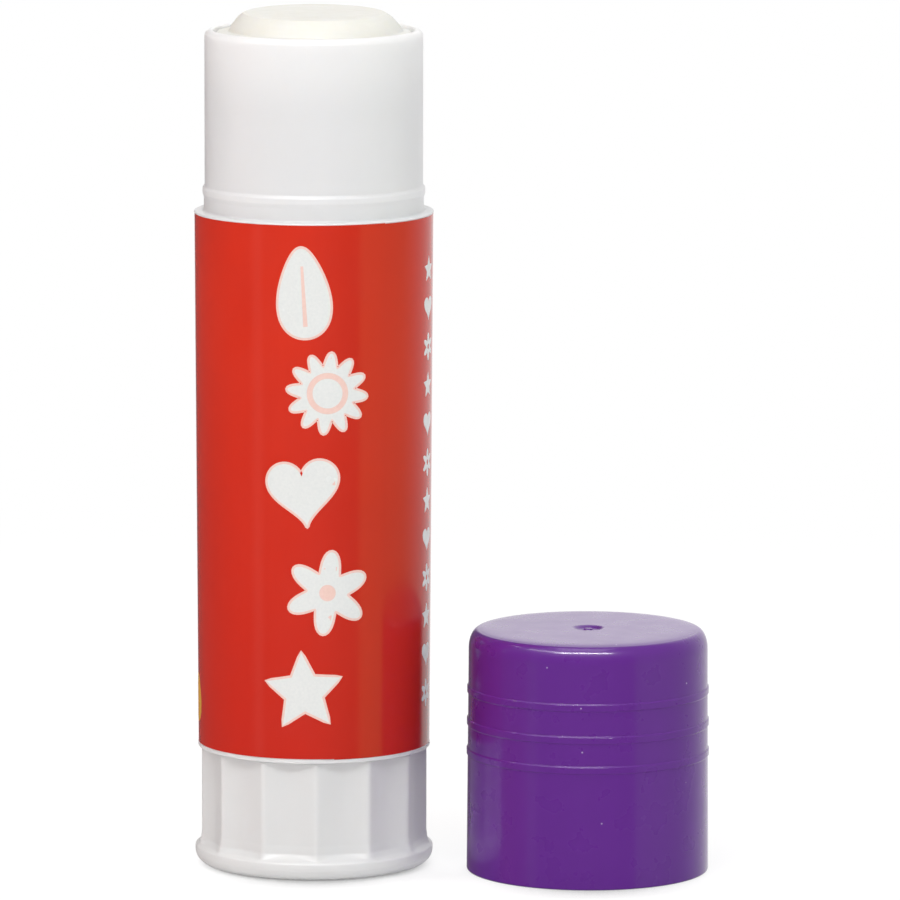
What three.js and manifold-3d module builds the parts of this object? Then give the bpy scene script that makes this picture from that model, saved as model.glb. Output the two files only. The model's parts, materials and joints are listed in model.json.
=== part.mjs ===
// A twist-up glue stick with its cap taken off and standing beside it.
// Millimetres, +Z up. The origin is on the tube's axis, on the face that the base stands on.
import * as THREE from "three";
import { mergeVertices } from "three/addons/utils/BufferGeometryUtils.js";
import Module from "manifold-3d";

const wasm = await Module();
wasm.setup();

// Driving dimensions: fits
const fitGap = 0.3; // between pieces that touch, slide or turn on each other
const capFit = 0.25; // between the cap and the neck
const labelGap = 0.08; // between the label film and the barrel

// Driving dimensions: barrel
const rimHeight = 105.9;
const shoulderHeight = 83.3;
const barrelFootHeight = 15.1;
const neckRadius = 13.75;
const neckStep = 0.1; // how much wider the neck is below the bead
const neckWall = 1.1;
const neckCove = 0.3; // rise of the small hollow where the neck meets the shoulder
const shoulderWidth = 1.25; // of the flat that the cap closes on, with the cove
const barrelDraft = 0.4; // how much narrower the barrel is at its foot than at its shoulder
const rimRound = 0.75;
const footRound = 0.3;
const beadAboveShoulder = 2.55;
const beadWidth = 1.65;
const beadProud = 0.27;
const barrelFloor = 1.7;
const floorHoleRadius = 5.6;
const tailLength = 4;
const tailWall = 1.1;
const ribCount = 4;
const ribHeight = 0.5;
const ribWidth = 1.2;
const ribBelowRim = 6;

// Driving dimensions: label
const labelThickness = 0.12;
const labelBelowShoulder = 0.2;
const labelAboveFoot = 0.45;

// Driving dimensions: knob
const fluteCount = 13;
const fluteDepth = 0.85;
const ridgeInset = 0.35; // how far the ridges lie inside the barrel's foot
const ridgeTurn = 1.2; // degrees that the front ridge is turned from -Y towards +X
const flangeProud = 0.65; // how far the foot flange stands out from the ridges
const flangeHeight = 2.7;
const flangeRound = 1.2;
const flangeTopRound = 0.4;
const flareHeight = 3.6; // from the flange's top to where the ridges' flare has died out
const fluteRunout = 1.3; // height over the flange in which the flutes reach their full depth
const knobTopRound = 0.2;
const knobFloor = 1.8;
const knobWall = 1.2; // behind the middle of a flute
const padRadius = 5;
const footRingWidth = 1.4;
const baseRecess = 0.5;
const hubWall = 1.4;
const hubLip = 0.65;
const hubLipHeight = 1;
const fingerCount = 4;
const fingerSlot = 1.7;
const fingerLength = 9;

// Driving dimensions: spindle
const threadLead = 6; // rise of the carrier for one turn of the knob
const threadCore = 2.2;
const threadDepth = 1.1;
const threadRoot = 2.6; // width of the thread along the axis, at the core
const threadCrest = 1.3;
const threadBuried = 0.5; // how far the thread's inner face lies inside the core
const threadFade = 0.5; // turns over which the thread grows and dies out
const threadEndRise = 0.1; // what is left of the thread's depth at its two ends
const spindleTip = 99;
const spindleTipTaper = 1.2;
const flangeThickness = 1;
const plugBead = 0.3;
const plugBeadWidth = 1.2;
const plugBeadAbovePlug = 2;

// Driving dimensions: carrier
const retractTravel = 3; // how far the carrier can still go down
const carrierHeight = 13.5;
const carrierWall = 1;
const cupDepth = 6;
const cupFloor = 1.5;
const nutWall = 1.4;
const nutBelowFloor = 3.2;
const webCount = 4;
const webThickness = 1;
const webHeight = 2.6;

// Driving dimensions: glue
const glueAboveRim = 2.55;
const glueHeadInset = 1.25; // how much narrower the head is than the stick
const glueHeadHeight = 4.5; // from the full width up to the face
const glueRoundWidth = 2.45;
const glueRoundHeight = 2.6;

// Driving dimensions: cap
const capHeight = 30.75;
const capWall = 1.2; // at the mouth
const capMouthChamfer = 0.35;
const capDraft = 0.22; // how much narrower the cap is at its top than at its foot
const capTopRound = 1.2;
const capFootRound = 0.25;
const capTopWall = 1.1;
const capInnerDraft = 0.15;
const capGripLip = 0.2;
const capGripWidth = 0.9;
const bandTop = 23.1;
const bandPitch = 3.85;
const bandCount = 3;
const bandWidth = 1.4;
const bandFlat = 0.7;
const bandProud = 0.12;
const plugWall = 0.7;
const plugIntoBore = 1.6;
const dimpleRadius = 1.8;
const dimpleDepth = 0.45;
const nubRadius = 0.4;
const capPlace = new THREE.Vector2(34.54, -5.65);

// Facets
const roundSteps = 48;
const stepsPerFlute = 6;
const shaftSteps = 16;
const threadStepsPerTurn = 12;
const arcSteps = 3;
const beadSteps = 4;
const headSteps = 5;
const overcut = 1; // how far a cutter runs past the face that it opens

// Solids
function solidOf(geometry) {
  geometry.deleteAttribute("normal");
  geometry.deleteAttribute("uv");
  const merged = mergeVertices(geometry, 1e-4);
  const corners = merged.index.array;
  const kept = [];
  for (let i = 0; i < corners.length; i += 3) {
    const [a, b, c] = [corners[i], corners[i + 1], corners[i + 2]];
    if (a !== b && b !== c && c !== a) kept.push(a, b, c);
  }
  return new wasm.Manifold(
    new wasm.Mesh({
      numProp: 3,
      vertProperties: merged.attributes.position.array,
      triVerts: new Uint32Array(kept),
    }),
  );
}

function meshOf(name, solid, material) {
  const made = solid.getMesh();
  const geometry = new THREE.BufferGeometry();
  geometry.setAttribute("position", new THREE.BufferAttribute(made.vertProperties, 3));
  geometry.setIndex(new THREE.BufferAttribute(made.triVerts, 1));
  geometry.computeVertexNormals();
  const mesh = new THREE.Mesh(geometry, material);
  mesh.name = name;
  return mesh;
}

// Turns a profile of [radius, height] points about Z. It runs up the outside, anticlockwise seen with Z up.
function lathe(profile, steps = roundSteps) {
  const points = profile.map(([radius, height]) => new THREE.Vector2(radius, height));
  return new THREE.LatheGeometry(points, steps).rotateX(Math.PI / 2);
}

const revolve = (profile, steps) => solidOf(lathe(profile, steps));

// A closed profile that doesn't touch the axis.
const revolveRing = (profile, steps) => revolve([...profile, profile[0]], steps);

const cylinder = (radius, low, high, steps) =>
  revolve([[0, low], [radius, low], [radius, high], [0, high]], steps);

// A quarter or other part of a circle in a profile, from one angle to another in degrees.
function arc(centreRadius, centreHeight, radius, fromDegrees, toDegrees, steps = arcSteps) {
  const points = [];
  for (let i = 0; i <= steps; i++) {
    const angle = THREE.MathUtils.degToRad(THREE.MathUtils.lerp(fromDegrees, toDegrees, i / steps));
    points.push([
      centreRadius + radius * Math.cos(angle),
      centreHeight + radius * Math.sin(angle),
    ]);
  }
  return points;
}

// A box standing on a radius: it runs outwards from one radius to another, turned about Z.
function radialBox(inner, outer, width, low, high, degrees) {
  const box = new THREE.BoxGeometry(outer - inner, width, high - low);
  box.translate((inner + outer) / 2, 0, (low + high) / 2);
  box.rotateZ(THREE.MathUtils.degToRad(degrees));
  return solidOf(box);
}

// The same box repeated evenly round the axis, from half a step off +X.
function radialBoxes(count, inner, outer, width, low, high) {
  const boxes = [];
  for (let i = 0; i < count; i++) {
    boxes.push(radialBox(inner, outer, width, low, high, ((i + 0.5) * 360) / count));
  }
  return boxes;
}

const joined = (solid, more) => more.reduce((whole, piece) => whole.add(piece), solid);
const cut = (solid, cutters) => cutters.reduce((rest, cutter) => rest.subtract(cutter), solid);

// Radii and heights that several pieces share
const lowerNeck = neckRadius + neckStep;
const boreRadius = neckRadius - neckWall;
const shoulderRadius = lowerNeck + shoulderWidth;
const barrelFootRadius = shoulderRadius - barrelDraft;
const ridgeRadius = barrelFootRadius - ridgeInset;
const flangeRadius = ridgeRadius + flangeProud;
const tailRadius = ridgeRadius - fluteDepth - knobWall - fitGap;
const floorTop = barrelFootHeight + barrelFloor;
const knobTop = barrelFootHeight - fitGap;
const hubRadius = floorHoleRadius - fitGap;
const hubBore = hubRadius - hubWall;
const hubTop = floorTop + fitGap + hubLipHeight;
const plugRadius = hubBore - fitGap;
const plugBottom = knobFloor + fitGap;
const spindleFlangeBottom = hubTop + fitGap;
const spindleFlangeTop = spindleFlangeBottom + flangeThickness;
const threadRadius = threadCore + threadDepth;
const carrierBottom = floorTop + fitGap + retractTravel;
const carrierTop = carrierBottom + carrierHeight;
const carrierRadius = boreRadius - fitGap;
const cupFloorTop = carrierTop - cupDepth;
const cupFloorBottom = cupFloorTop - cupFloor;
const nutRadius = threadRadius + fitGap + nutWall;
const nutBottom = cupFloorBottom - nutBelowFloor;
const ribTop = rimHeight - ribBelowRim;
const notchWidth = ribWidth + 2 * fitGap;
const notchRadius = boreRadius - ribHeight - fitGap;

// Radius over the label at a height: the barrel widens evenly from its foot to its shoulder.
function barrelRadius(height) {
  const share = (height - barrelFootHeight) / (shoulderHeight - barrelFootHeight);
  return THREE.MathUtils.lerp(barrelFootRadius, shoulderRadius, share);
}

// The bead that the cap snaps over. The neck is narrower over it than under it.
function neckBead() {
  const points = [];
  for (let i = 0; i <= beadSteps; i++) {
    const angle = Math.PI * (i / beadSteps - 0.5);
    points.push([
      THREE.MathUtils.lerp(lowerNeck, neckRadius, i / beadSteps) + beadProud * Math.cos(angle),
      shoulderHeight + beadAboveShoulder + (beadWidth / 2) * Math.sin(angle),
    ]);
  }
  return points;
}

// Barrel: foot, label waist, shoulder and neck outside; bore, floor and tail inside
function makeBarrel() {
  const labelLow = barrelFootHeight + labelAboveFoot;
  const labelHigh = shoulderHeight - labelBelowShoulder;
  const waist = labelThickness + labelGap;
  const tailBottom = barrelFootHeight - tailLength;
  const outside = [
    [floorHoleRadius, barrelFootHeight],
    [tailRadius - tailWall, barrelFootHeight],
    [tailRadius - tailWall, tailBottom],
    [tailRadius - footRound, tailBottom],
    [tailRadius, tailBottom + footRound],
    [tailRadius, barrelFootHeight],
    [barrelFootRadius - footRound / 2, barrelFootHeight],
    [barrelFootRadius, barrelFootHeight + footRound / 2],
    [barrelRadius(labelLow), labelLow],
    [barrelRadius(labelLow) - waist, labelLow],
    [barrelRadius(labelHigh) - waist, labelHigh],
    [barrelRadius(labelHigh), labelHigh],
    [shoulderRadius, shoulderHeight - footRound / 2],
    [shoulderRadius - footRound / 2, shoulderHeight],
    [lowerNeck + neckCove, shoulderHeight],
    [lowerNeck, shoulderHeight + neckCove],
    ...neckBead(),
    ...arc(neckRadius - rimRound, rimHeight - rimRound, rimRound, 0, 90),
  ];
  const innerRound = neckRadius - rimRound - boreRadius;
  const inside = [
    ...arc(boreRadius + innerRound, rimHeight - innerRound, innerRound, 90, 180, 2).slice(1),
    [boreRadius, floorTop],
    [floorHoleRadius, floorTop],
  ];
  const ribs = radialBoxes(
    ribCount,
    boreRadius - ribHeight,
    (boreRadius + neckRadius) / 2,
    ribWidth,
    floorTop - barrelFloor / 2,
    ribTop,
  );
  return joined(revolveRing([...outside, ...inside]), ribs);
}

// Label: a film sleeve in the barrel's waist
function makeLabel() {
  const low = barrelFootHeight + labelAboveFoot + labelGap;
  const high = shoulderHeight - labelBelowShoulder - labelGap;
  return revolveRing([
    [barrelRadius(low) - labelThickness, low],
    [barrelRadius(low), low],
    [barrelRadius(high), high],
    [barrelRadius(high) - labelThickness, high],
  ]);
}

// Knob: how much of the flutes' depth is there at a height. They run out above the foot flange.
function fluteShare(height) {
  return THREE.MathUtils.smoothstep(height, flangeHeight, flangeHeight + fluteRunout);
}

// Pulls a revolved outside in between the ridges, each flute a hollow as deep in its middle as fluteDepth.
function fluted(geometry) {
  const position = geometry.getAttribute("position");
  const step = (2 * Math.PI) / fluteCount;
  const turn = THREE.MathUtils.degToRad(ridgeTurn);
  for (let i = 0; i < position.count; i++) {
    const [x, y, height] = [position.getX(i), position.getY(i), position.getZ(i)];
    const fromFront = Math.atan2(x, -y);
    const flutes = fromFront / step;
    const across = 2 * (flutes - Math.floor(flutes + 1e-6)) - 1;
    const depth = fluteDepth * fluteShare(height) * Math.max(0, 1 - across * across);
    const radius = Math.hypot(x, y) * (1 - depth / ridgeRadius);
    const angle = fromFront + turn;
    position.setXYZ(i, radius * Math.sin(angle), -radius * Math.cos(angle), height);
  }
  return geometry;
}

function knobOutside() {
  const flare = (height) => {
    const left = 1 - Math.min(1, (height - flangeHeight) / flareHeight);
    return ridgeRadius + (flangeRadius - flangeTopRound - ridgeRadius) * left ** 2;
  };
  const skirt = [
    flangeHeight + fluteRunout / 3,
    flangeHeight + (fluteRunout * 2) / 3,
    flangeHeight + fluteRunout,
    flangeHeight + flareHeight,
  ].map((height) => [flare(height), height]);
  const footRingOuter = flangeRadius - flangeRound;
  const footRingInner = footRingOuter - footRingWidth;
  const profile = [
    [0, 0],
    [padRadius, 0],
    [padRadius + baseRecess, baseRecess],
    [footRingInner - baseRecess, baseRecess],
    [footRingInner, 0],
    ...arc(footRingOuter, flangeRound, flangeRound, -90, 0),
    ...arc(flangeRadius - flangeTopRound, flangeHeight - flangeTopRound, flangeTopRound, 0, 90, 2),
    ...skirt,
    [ridgeRadius, knobTop - knobTopRound],
    [ridgeRadius - knobTopRound, knobTop],
    [0, knobTop],
  ];
  return solidOf(fluted(lathe(profile, fluteCount * stepsPerFlute)));
}

// The hub that snaps up through the barrel's floor: a slotted tube with a lip, and a groove for the spindle's bead
function knobHub() {
  const beadHeight = plugBottom + plugBeadAbovePlug;
  const grooveHalf = plugBeadWidth / 2 + fitGap;
  const groove = hubBore + plugBead;
  const hub = revolveRing(
    [
      [hubBore, knobFloor / 2],
      [hubRadius, knobFloor / 2],
      [hubRadius, floorTop + fitGap],
      [hubRadius + hubLip, floorTop + fitGap],
      [hubRadius, hubTop],
      [hubBore, hubTop],
      [hubBore, beadHeight + grooveHalf],
      [groove, beadHeight],
      [hubBore, beadHeight - grooveHalf],
    ],
    shaftSteps,
  );
  const slots = radialBoxes(
    fingerCount,
    hubBore / 2,
    hubRadius + hubLip + overcut,
    fingerSlot,
    hubTop - fingerLength,
    hubTop + overcut,
  );
  return cut(hub, slots);
}

function makeKnob() {
  const hollow = revolve([
    [0, knobFloor],
    [tailRadius + fitGap, knobFloor],
    [tailRadius + fitGap, knobTop + overcut],
    [0, knobTop + overcut],
  ]);
  return knobOutside().subtract(hollow).add(knobHub());
}

// The thread alone, as a closed coil whose section is a trapezium with its inner face inside the core.
// It is left-handed, so a turn of the knob that runs from +X to +Y raises the nut. grow widens it all round,
// and over fadeTurns at each end it rises from the core and dies out.
function threadCoil(low, high, grow, fadeTurns) {
  const turns = (high - low) / threadLead;
  const steps = Math.ceil(turns * threadStepsPerTurn);
  const halfRoot = threadRoot / 2 + grow;
  const halfCrest = threadCrest / 2 + grow;
  const slope = (threadRoot - threadCrest) / 2 / threadDepth;
  const inner = threadCore - threadBuried;
  const innerHalf = halfRoot + slope * threadBuried;
  const positions = [];
  for (let i = 0; i <= steps; i++) {
    const turn = (turns * i) / steps;
    const height = low + turn * threadLead;
    const angle = (-2 * Math.PI * height) / threadLead;
    const share = fadeTurns > 0 ? Math.min(1, turn / fadeTurns, (turns - turn) / fadeTurns) : 1;
    const crest = threadCore + grow + Math.max(threadEndRise, threadDepth * share);
    for (const [radius, offset] of [
      [inner, -innerHalf],
      [crest, -halfCrest],
      [crest, halfCrest],
      [inner, innerHalf],
    ]) {
      positions.push(radius * Math.cos(angle), radius * Math.sin(angle), height + offset);
    }
  }
  const corners = [];
  for (let i = 0; i < steps; i++) {
    for (let side = 0; side < 4; side++) {
      const a = 4 * i + side;
      const b = 4 * i + ((side + 1) % 4);
      corners.push(a, b, a + 4, b, b + 4, a + 4);
    }
  }
  const last = 4 * steps;
  corners.push(0, 2, 1, 0, 3, 2);
  corners.push(last, last + 1, last + 2, last, last + 2, last + 3);
  const geometry = new THREE.BufferGeometry();
  geometry.setAttribute("position", new THREE.Float32BufferAttribute(positions, 3));
  geometry.setIndex(corners);
  return solidOf(geometry);
}

// Spindle: keyed plug in the knob's hub, thrust flange over the fingers, then the screw
function makeSpindle() {
  const beadHeight = plugBottom + plugBeadAbovePlug;
  const beadHalf = plugBeadWidth / 2;
  const shaft = revolve(
    [
      [0, plugBottom],
      [plugRadius - plugBead, plugBottom],
      [plugRadius, plugBottom + plugBead],
      [plugRadius, beadHeight - beadHalf],
      [plugRadius + plugBead, beadHeight],
      [plugRadius, beadHeight + beadHalf],
      [plugRadius, spindleFlangeBottom],
      [hubRadius, spindleFlangeBottom],
      [hubRadius, spindleFlangeTop],
      [threadCore, spindleFlangeTop],
      [threadCore, spindleTip - spindleTipTaper],
      [threadCore - spindleTipTaper / 2, spindleTip],
      [0, spindleTip],
    ],
    shaftSteps,
  );
  const keys = radialBoxes(
    fingerCount,
    plugRadius / 2,
    hubRadius - fitGap,
    fingerSlot - 2 * fitGap,
    hubTop - fingerLength + fitGap,
    spindleFlangeBottom + flangeThickness / 2,
  );
  const thread = threadCoil(
    spindleFlangeTop + threadRoot / 2,
    spindleTip - spindleTipTaper - threadRoot / 2,
    0,
    threadFade,
  );
  return joined(shaft.add(thread), keys);
}

// Carrier: the piston's skirt and cup, the nut on the spindle, and webs between them
function makeCarrier() {
  const inner = carrierRadius - carrierWall;
  const skirt = revolveRing([
    [inner, carrierBottom],
    [carrierRadius, carrierBottom],
    [carrierRadius, carrierTop],
    [inner, carrierTop],
  ]);
  const floor = cylinder((inner + carrierRadius) / 2, cupFloorBottom, cupFloorTop);
  const nut = cylinder(nutRadius, nutBottom, carrierTop, shaftSteps);
  const webs = radialBoxes(
    webCount,
    nutRadius - nutWall / 2,
    inner + carrierWall / 2,
    webThickness,
    cupFloorBottom - webHeight,
    cupFloorBottom + cupFloor / 2,
  );
  const notches = radialBoxes(
    ribCount,
    notchRadius,
    boreRadius + overcut,
    notchWidth,
    carrierBottom - overcut,
    carrierTop + overcut,
  );
  const bore = cylinder(
    threadCore + fitGap,
    nutBottom - overcut,
    carrierTop + overcut,
    shaftSteps,
  );
  const tap = threadCoil(nutBottom - threadLead, carrierTop + threadLead, fitGap, 0);
  return cut(joined(skirt.add(floor).add(nut), webs), [bore, tap, ...notches]);
}

// Glue: cast round the nut and the spindle, with a rounded head shaped by the cap's sealing ring
function makeGlue() {
  const bottom = cupFloorTop + fitGap;
  const step = carrierTop + fitGap;
  const face = rimHeight + glueAboveRim;
  const full = face - glueHeadHeight;
  const inCup = carrierRadius - carrierWall - fitGap;
  const spindleBore = threadRadius + fitGap;
  const boreTop = spindleTip + retractTravel + fitGap;
  const headRadius = carrierRadius - glueHeadInset;
  const head = [];
  for (let i = 0; i <= headSteps; i++) {
    const angle = (Math.PI / 2) * (i / headSteps);
    head.push([
      headRadius - glueRoundWidth * (1 - Math.cos(angle)),
      face - glueRoundHeight * (1 - Math.sin(angle)),
    ]);
  }
  const body = revolve([
    [0, bottom],
    [inCup, bottom],
    [inCup, step],
    [carrierRadius, step],
    [carrierRadius, full],
    [headRadius, full + glueHeadInset / 2],
    ...head,
    [0, face],
  ]);
  const nutRoom = cylinder(nutRadius + fitGap, bottom - overcut, step, shaftSteps);
  const spindleRoom = cylinder(spindleBore, bottom - overcut, boreTop, shaftSteps);
  const grooves = radialBoxes(
    ribCount,
    notchRadius,
    boreRadius + overcut,
    notchWidth,
    bottom - overcut,
    ribTop + retractTravel + fitGap,
  );
  return cut(body, [nutRoom, spindleRoom, ...grooves]);
}

// Cap: a thin shell with three raised bands, a grip lip in its mouth and a sealing ring under its top
function makeCap() {
  const mouth = lowerNeck + capFit;
  const throat = neckRadius + capFit;
  const outerRadius = (height) => mouth + capWall - (capDraft * height) / capHeight;
  const bands = [];
  for (let i = bandCount - 1; i >= 0; i--) {
    const centre = bandTop - i * bandPitch;
    bands.push([outerRadius(centre - bandWidth / 2), centre - bandWidth / 2]);
    bands.push([outerRadius(centre) + bandProud, centre - bandFlat / 2]);
    bands.push([outerRadius(centre) + bandProud, centre + bandFlat / 2]);
    bands.push([outerRadius(centre + bandWidth / 2), centre + bandWidth / 2]);
  }
  const roundBottom = capHeight - capTopRound;
  const beadRoom = beadAboveShoulder + beadWidth;
  const ceiling = capHeight - capTopWall;
  const plugOuter = boreRadius - fitGap;
  const plugInner = plugOuter - plugWall;
  const plugLow = rimHeight - shoulderHeight - plugIntoBore;
  const gripHeight = beadAboveShoulder - beadWidth / 2 - capGripWidth / 2;
  return revolve([
    [0, ceiling],
    [plugInner, ceiling],
    [plugInner, plugLow + plugWall / 2],
    [plugInner + plugWall / 2, plugLow],
    [plugOuter, plugLow + plugWall / 2],
    [plugOuter, ceiling],
    [throat - capInnerDraft, ceiling],
    [throat, beadRoom + capFit],
    [mouth, beadRoom],
    [mouth, gripHeight + capGripWidth / 2],
    [mouth - capGripLip, gripHeight],
    [mouth, gripHeight - capGripWidth / 2],
    [mouth, capMouthChamfer],
    [mouth + capMouthChamfer, 0],
    [outerRadius(0) - capFootRound, 0],
    [outerRadius(0), capFootRound],
    ...bands,
    ...arc(outerRadius(roundBottom) - capTopRound, roundBottom, capTopRound, 0, 90),
    [dimpleRadius, capHeight],
    [dimpleRadius - dimpleDepth, capHeight - dimpleDepth],
    [nubRadius, capHeight - dimpleDepth],
    [nubRadius, capHeight - dimpleDepth / 2],
    [0, capHeight - dimpleDepth / 2],
  ]);
}

// Materials
const whitePlastic = new THREE.MeshStandardMaterial({ color: 0xe6e8ea, roughness: 0.42 });
const redFilm = new THREE.MeshStandardMaterial({ color: 0xcf2f22, roughness: 0.3 });
const innerPlastic = new THREE.MeshStandardMaterial({ color: 0xdfe2e4, roughness: 0.5 });
const purplePlastic = new THREE.MeshStandardMaterial({ color: 0x5c2d83, roughness: 0.25 });
const glueWhite = new THREE.MeshStandardMaterial({ color: 0xf3f2e8, roughness: 0.6 });

// The assembly
const tube = new THREE.Group();
tube.add(
  meshOf("barrel", makeBarrel(), whitePlastic),
  meshOf("label", makeLabel(), redFilm),
);
const drive = new THREE.Group();
drive.add(
  meshOf("knob", makeKnob(), whitePlastic),
  meshOf("spindle", makeSpindle(), innerPlastic),
);
const lift = new THREE.Group();
lift.add(
  meshOf("carrier", makeCarrier(), innerPlastic),
  meshOf("glue_stick", makeGlue(), glueWhite),
);
const cap = meshOf("cap", makeCap(), purplePlastic);
cap.position.set(capPlace.x, capPlace.y, 0);

const glueStick = new THREE.Group();
glueStick.add(tube, drive, lift, cap);

export default glueStick;
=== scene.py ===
# A twist-up glue stick with its cap taken off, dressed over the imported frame.
# Sizes in the dictionaries are in millimetres and degrees. Meshes are in metres, round the tube's axis.
import json
import math
from types import SimpleNamespace
import bpy
import bmesh
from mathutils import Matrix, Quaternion, Vector
from mathutils.geometry import delaunay_2d_cdt

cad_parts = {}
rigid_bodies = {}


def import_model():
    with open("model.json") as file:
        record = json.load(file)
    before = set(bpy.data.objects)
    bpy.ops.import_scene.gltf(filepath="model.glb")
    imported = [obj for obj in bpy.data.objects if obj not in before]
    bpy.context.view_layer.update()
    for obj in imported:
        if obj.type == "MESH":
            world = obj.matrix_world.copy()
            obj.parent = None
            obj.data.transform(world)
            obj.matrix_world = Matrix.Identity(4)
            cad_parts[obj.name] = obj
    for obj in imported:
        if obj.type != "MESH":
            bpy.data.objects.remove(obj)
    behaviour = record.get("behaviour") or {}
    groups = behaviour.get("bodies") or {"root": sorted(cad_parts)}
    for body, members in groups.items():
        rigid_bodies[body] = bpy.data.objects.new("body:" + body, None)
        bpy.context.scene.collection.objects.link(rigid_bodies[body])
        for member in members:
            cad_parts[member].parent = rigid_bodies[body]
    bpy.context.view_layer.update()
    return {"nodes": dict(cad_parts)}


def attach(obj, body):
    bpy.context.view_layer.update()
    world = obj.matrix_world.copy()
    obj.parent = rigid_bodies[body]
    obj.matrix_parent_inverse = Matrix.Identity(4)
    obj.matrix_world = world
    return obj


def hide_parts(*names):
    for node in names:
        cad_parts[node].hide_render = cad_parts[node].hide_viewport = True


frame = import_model()
mm = 0.001
print("frame loaded:", ", ".join(sorted(frame["nodes"])))


# Node trees

def plug(tree, target, inputs):
    # links sockets to a node's inputs and sets plain values on them
    for name, value in inputs.items():
        if isinstance(value, bpy.types.NodeSocket):
            tree.links.new(value, target.inputs[name])
        else:
            target.inputs[name].default_value = value


def node(tree, kind, inputs=None, **settings):
    made = tree.nodes.new(kind)
    for name, value in settings.items():
        setattr(made, name, value)
    plug(tree, made, inputs or {})
    return made


def sums(tree, operation, *values):
    return node(tree, "ShaderNodeMath", dict(enumerate(values)), operation=operation).outputs[0]


def times(tree, first, second):
    return sums(tree, "MULTIPLY", first, second)


def less(tree, first, second):
    return sums(tree, "SUBTRACT", first, second)


def vectors(tree, operation, inputs):
    return node(tree, "ShaderNodeVectorMath", inputs, operation=operation).outputs[0]


def combined(tree, **axes):
    return node(tree, "ShaderNodeCombineXYZ", axes).outputs[0]


def split(tree, vector):
    return node(tree, "ShaderNodeSeparateXYZ", {"Vector": vector}).outputs


def ranged(tree, value, span, low=0, high=1, easing="LINEAR"):
    # takes the span's start to low and its end to high, and holds them beyond it
    return node(tree, "ShaderNodeMapRange", {
        "Value": value, "From Min": span[0], "From Max": span[1], "To Min": low, "To Max": high},
        interpolation_type=easing).outputs[0]


def shapeTree(name, lengths, **others):
    # a Geometry Nodes tree with a geometry input and the named ones, and its two end nodes
    sockets = {**others, **dict.fromkeys(lengths, "Float")}
    tree = bpy.data.node_groups.new(name, "GeometryNodeTree")
    tree.interface.new_socket("Geometry", in_out="INPUT", socket_type="NodeSocketGeometry")
    for label, kind in sockets.items():
        tree.interface.new_socket(label, in_out="INPUT", socket_type="NodeSocket" + kind)
    tree.interface.new_socket("Geometry", in_out="OUTPUT", socket_type="NodeSocketGeometry")
    return tree, tree.nodes.new("NodeGroupInput"), tree.nodes.new("NodeGroupOutput")


def closeTree(tree, out, geometry, material):
    # instances become real faces of the one material
    whole = node(tree, "GeometryNodeRealizeInstances", {"Geometry": geometry})
    inked = node(tree, "GeometryNodeSetMaterial", {"Geometry": whole.outputs[0], "Material": material})
    tree.links.new(inked.outputs[0], out.inputs[0])
    return tree


def grown(piece, tree, values):
    # runs the tree on the piece and keeps the result as a plain mesh
    modifier = piece.modifiers.new(tree.name, "NODES")
    modifier.node_group = tree
    for item in tree.interface.items_tree:
        if item.item_type == "SOCKET" and item.in_out == "INPUT" and item.name in values:
            modifier[item.identifier] = values[item.name]
    evaluated = piece.evaluated_get(bpy.context.evaluated_depsgraph_get())
    made = bpy.data.meshes.new_from_object(evaluated)
    piece.modifiers.remove(modifier)
    piece.data = made


# Turned shapes

turning = {
    "steps": 192,       # round the axis
    "edge": 0.05,       # distance of the ring that keeps a corner tight
    "longest": 3.0,     # longest stretch between two rings
    "arcDegrees": 14,
    "sideShare": 0.96,  # share of a side that the roundings at its ends take at most
    "straight": 0.02,   # radians under which a corner counts as none
}


def roundingOf(corner):
    return corner[2] if len(corner) > 2 else 0


def roundedCorner(before, corner, after):
    # the points of one corner of a profile, given as (radius, height, rounding)
    point = Vector(corner[:2])
    rounding = roundingOf(corner)
    back, ahead = Vector(before[:2]) - point, Vector(after[:2]) - point
    inside = back.angle(ahead)
    if rounding <= 0 or inside > math.pi - turning["straight"]:
        return [point]
    # two roundings share the side between them
    room = min(side.length * turning["sideShare"] * rounding / (rounding + roundingOf(other))
               for side, other in ((back, before), (ahead, after)))
    reach = min(rounding / math.tan(inside / 2), room)
    radius = reach * math.tan(inside / 2)
    back.normalize()
    ahead.normalize()
    centre = point + (back + ahead).normalized() * radius / math.sin(inside / 2)
    start, end = point + back * reach - centre, point + ahead * reach - centre
    sweep = math.pi - inside
    steps = max(2, math.ceil(math.degrees(sweep) / turning["arcDegrees"]))
    shares = [i / steps for i in range(steps + 1)]
    return [
        centre + (start * math.sin((1 - s) * sweep) + end * math.sin(s * sweep)) / math.sin(sweep)
        for s in shares
    ]


def profileOf(corners, closed):
    # rounds the corners and adds the rings between them
    count = len(corners)
    points = []
    for i, corner in enumerate(corners):
        if closed or 0 < i < count - 1:
            points += roundedCorner(corners[i - 1], corner, corners[(i + 1) % count])
        else:
            points.append(Vector(corner[:2]))
    rings = []
    for i, point in enumerate(points):
        rings.append(point)
        if i == len(points) - 1 and not closed:
            break
        step = points[(i + 1) % len(points)] - point
        if step.length > 4 * turning["edge"]:
            nearEdge = step.normalized() * turning["edge"]
            middle = step - 2 * nearEdge
            parts = max(1, math.ceil(middle.length / turning["longest"]))
            rings += [point + nearEdge + middle * j / parts for j in range(parts + 1)]
    return rings


def easedEdge(radius, height, across, down, steps=16):
    # the points of an elliptical quarter round an outer top edge
    turns = [math.pi / 2 * i / steps for i in range(steps + 1)]
    return [(radius - across * (1 - math.cos(t)), height - down * (1 - math.sin(t))) for t in turns]


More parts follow.
